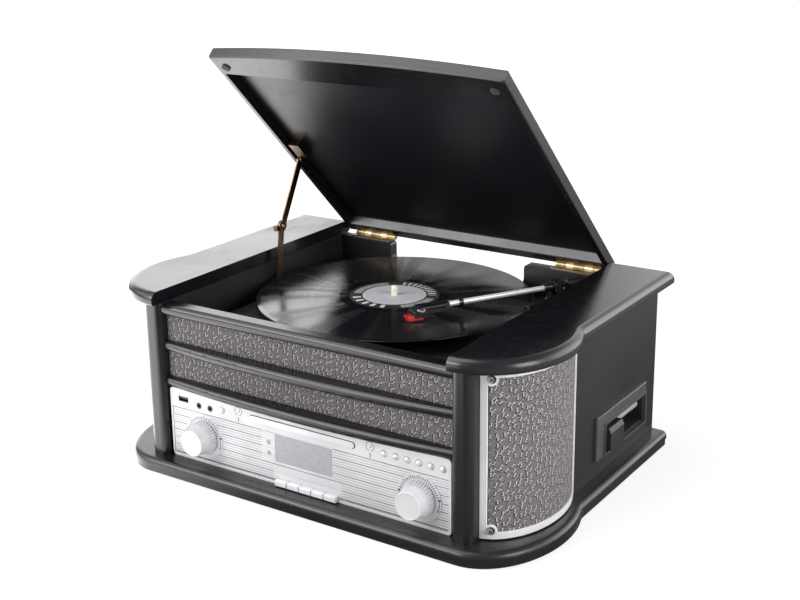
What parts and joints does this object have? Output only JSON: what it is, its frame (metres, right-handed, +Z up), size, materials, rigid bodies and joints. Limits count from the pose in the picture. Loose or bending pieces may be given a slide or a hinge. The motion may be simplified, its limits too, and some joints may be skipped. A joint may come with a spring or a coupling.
{
  "type": "stereo music centre",
  "caption": "Black wooden stereo music centre with a record deck under a hinged lid, side speakers, disc tray, cassette slot and silver control panel.",
  "frame": {"origin": "on the surface it stands on, under the middle of the base board", "axes": "+X to the listener's right, +Y to the back, +Z up"},
  "size_m": [0.5138, 0.3655, 0.4456],
  "materials": {
    "black_wood": "satin black lacquer on board",
    "gloss_black": "glossy black",
    "grille_cloth": "woven grey-brown grille cloth",
    "bare_board": "plain fibreboard",
    "silver_plastic": "silver-painted plastic",
    "display_grey": "grey display window",
    "circuit_board": "green circuit board",
    "socket_steel": "plated sheet steel",
    "black_plastic": "black moulded plastic",
    "steel": "bright steel",
    "driver_grey": "pressed basket and paper cone",
    "brass": "bright brass",
    "bronze": "dark bronzed brass",
    "rubber": "black rubber",
    "platter_metal": "dark pressed platter with felt mat",
    "vinyl": "grooved black vinyl",
    "arm_chrome": "polished arm tube"
  },
  "bodies": {
    "cabinet": {"cassette_bezel": "black_plastic", "cassette_mechanism": "black_plastic", "cd_mechanism": "black_plastic", "control_board": "circuit_board", "control_panel": "silver_plastic", "deck_motor": "steel", "deck_plate": "black_plastic", "display_module": "display_grey", "drive_belt": "rubber", "frame_screws": "steel", "front_posts": "black_wood", "front_rails": "black_wood", "grille_panels": "grille_cloth", "hinge_fixed_leaves": "brass", "input_sockets": "socket_steel", "panel_bosses": "silver_plastic", "plinth": "black_wood", "rear_panel": "black_wood", "rubber_feet": "rubber", "side_panel_left": "black_wood", "side_panel_right": "black_wood", "speaker_cloths": "grille_cloth", "speaker_drivers": "driver_grey", "speaker_frames": "silver_plastic", "speaker_shells": "bare_board", "terminal_plate": "socket_steel", "tonearm_base": "black_plastic", "top_boards": "black_wood", "transformer": "steel", "well_walls": "black_wood"},
    "lid": {"lid_frame": "black_wood", "lid_panel": "gloss_black", "lid_bumpers": "rubber", "hinge_lid_leaves": "brass", "stay_bracket": "bronze"},
    "stay_lower": {"stay_lower_arm": "bronze"},
    "stay_upper": {"stay_upper_arm": "bronze"},
    "platter": {"platter": "platter_metal", "record": "vinyl"},
    "pulley": {"motor_pulley": "brass"},
    "yoke": {"tonearm_yoke": "black_plastic"},
    "arm": {"tonearm_tube": "arm_chrome", "cartridge": "black_plastic"},
    "speed_switch": {"speed_switch": "black_plastic"},
    "tray": {"cd_tray": "silver_plastic"},
    "cassette_key": {"cassette_key": "black_plastic"},
    "volume_knob": {"volume_knob": "silver_plastic"},
    "tuning_knob": {"tuning_knob": "silver_plastic"},
    "function_button": {"function_button": "silver_plastic"},
    "round_button_1": {"round_button_1": "silver_plastic"},
    "round_button_2": {"round_button_2": "silver_plastic"},
    "round_button_3": {"round_button_3": "silver_plastic"},
    "round_button_4": {"round_button_4": "silver_plastic"},
    "round_button_5": {"round_button_5": "silver_plastic"},
    "round_button_6": {"round_button_6": "silver_plastic"},
    "piano_key_1": {"piano_key_1": "silver_plastic"},
    "piano_key_2": {"piano_key_2": "silver_plastic"},
    "piano_key_3": {"piano_key_3": "silver_plastic"},
    "piano_key_4": {"piano_key_4": "silver_plastic"},
    "piano_key_5": {"piano_key_5": "silver_plastic"}
  },
  "joints": [
    {"name": "lid_hinge", "type": "hinge", "parent": "cabinet", "child": "lid", "pos_m": [0, 0.178, 0.1869], "axis": [-1, 0, 0], "range_deg": [-44.4, 0]},
    {"name": "stay_lower_turn", "type": "hinge", "parent": "cabinet", "child": "stay_lower", "pos_m": [-0.16825, 0.0228, 0.146], "axis": [-1, 0, 0], "range_deg": [-78.32, 0]},
    {"name": "stay_upper_turn", "type": "hinge", "parent": "lid", "child": "stay_upper", "pos_m": [-0.16645, 0.06929, 0.29714], "axis": [-1, 0, 0], "range_deg": [0, 93.93]},
    {"name": "platter_spin", "type": "hinge", "parent": "cabinet", "child": "platter", "pos_m": [-0.015, 0.033, 0.16], "axis": [0, 0, 1], "continuous": true},
    {"name": "pulley_spin", "type": "hinge", "parent": "cabinet", "child": "pulley", "pos_m": [-0.08872, -0.01862, 0.15], "axis": [0, 0, 1], "continuous": true},
    {"name": "arm_swing", "type": "hinge", "parent": "cabinet", "child": "yoke", "pos_m": [0.14, 0.119, 0.17], "axis": [0, 0, 1], "range_deg": [-13, 30.5]},
    {"name": "arm_lift", "type": "hinge", "parent": "yoke", "child": "arm", "pos_m": [0.14, 0.119, 0.182], "axis": [-0.8612, 0.5083, 0], "range_deg": [0, 3.5]},
    {"name": "speed_switch_slide", "type": "slide", "parent": "cabinet", "child": "speed_switch", "axis": [0, 1, 0], "range_m": [0, 0.006]},
    {"name": "tray_slide", "type": "slide", "parent": "cabinet", "child": "tray", "axis": [0, -1, 0], "range_m": [0, 0.126]},
    {"name": "cassette_key_push", "type": "slide", "parent": "cabinet", "child": "cassette_key", "axis": [-1, 0, 0], "range_m": [0, 0.004], "stiffness_N_per_m": 500, "springref_m": -0.001},
    {"name": "volume_turn", "type": "hinge", "parent": "cabinet", "child": "volume_knob", "pos_m": [-0.1285, -0.169, 0.0467], "axis": [0, 1, 0], "range_deg": [-150, 150]},
    {"name": "tuning_turn", "type": "hinge", "parent": "cabinet", "child": "tuning_knob", "pos_m": [0.138, -0.169, 0.0467], "axis": [0, 1, 0], "continuous": true},
    {"name": "function_button_push", "type": "slide", "parent": "cabinet", "child": "function_button", "axis": [0, 1, 0], "range_m": [0, 0.0012], "stiffness_N_per_m": 400, "springref_m": -0.001},
    {"name": "round_button_1_push", "type": "slide", "parent": "cabinet", "child": "round_button_1", "axis": [0, 1, 0], "range_m": [0, 0.0012], "stiffness_N_per_m": 400, "springref_m": -0.001},
    {"name": "round_button_2_push", "type": "slide", "parent": "cabinet", "child": "round_button_2", "axis": [0, 1, 0], "range_m": [0, 0.0012], "stiffness_N_per_m": 400, "springref_m": -0.001},
    {"name": "round_button_3_push", "type": "slide", "parent": "cabinet", "child": "round_button_3", "axis": [0, 1, 0], "range_m": [0, 0.0012], "stiffness_N_per_m": 400, "springref_m": -0.001},
    {"name": "round_button_4_push", "type": "slide", "parent": "cabinet", "child": "round_button_4", "axis": [0, 1, 0], "range_m": [0, 0.0012], "stiffness_N_per_m": 400, "springref_m": -0.001},
    {"name": "round_button_5_push", "type": "slide", "parent": "cabinet", "child": "round_button_5", "axis": [0, 1, 0], "range_m": [0, 0.0012], "stiffness_N_per_m": 400, "springref_m": -0.001},
    {"name": "round_button_6_push", "type": "slide", "parent": "cabinet", "child": "round_button_6", "axis": [0, 1, 0], "range_m": [0, 0.0012], "stiffness_N_per_m": 400, "springref_m": -0.001},
    {"name": "piano_key_1_push", "type": "slide", "parent": "cabinet", "child": "piano_key_1", "axis": [0, 1, 0], "range_m": [0, 0.0012], "stiffness_N_per_m": 400, "springref_m": -0.001},
    {"name": "piano_key_2_push", "type": "slide", "parent": "cabinet", "child": "piano_key_2", "axis": [0, 1, 0], "range_m": [0, 0.0012], "stiffness_N_per_m": 400, "springref_m": -0.001},
    {"name": "piano_key_3_push", "type": "slide", "parent": "cabinet", "child": "piano_key_3", "axis": [0, 1, 0], "range_m": [0, 0.0012], "stiffness_N_per_m": 400, "springref_m": -0.001},
    {"name": "piano_key_4_push", "type": "slide", "parent": "cabinet", "child": "piano_key_4", "axis": [0, 1, 0], "range_m": [0, 0.0012], "stiffness_N_per_m": 400, "springref_m": -0.001},
    {"name": "piano_key_5_push", "type": "slide", "parent": "cabinet", "child": "piano_key_5", "axis": [0, 1, 0], "range_m": [0, 0.0012], "stiffness_N_per_m": 400, "springref_m": -0.001}
  ],
  "couplings": [
    {"joint": "stay_lower_turn", "follows": "lid_hinge", "ratio": 1.7637},
    {"joint": "stay_upper_turn", "follows": "lid_hinge", "ratio": -2.1153},
    {"joint": "pulley_spin", "follows": "platter_spin", "ratio": 11.667}
  ]
}
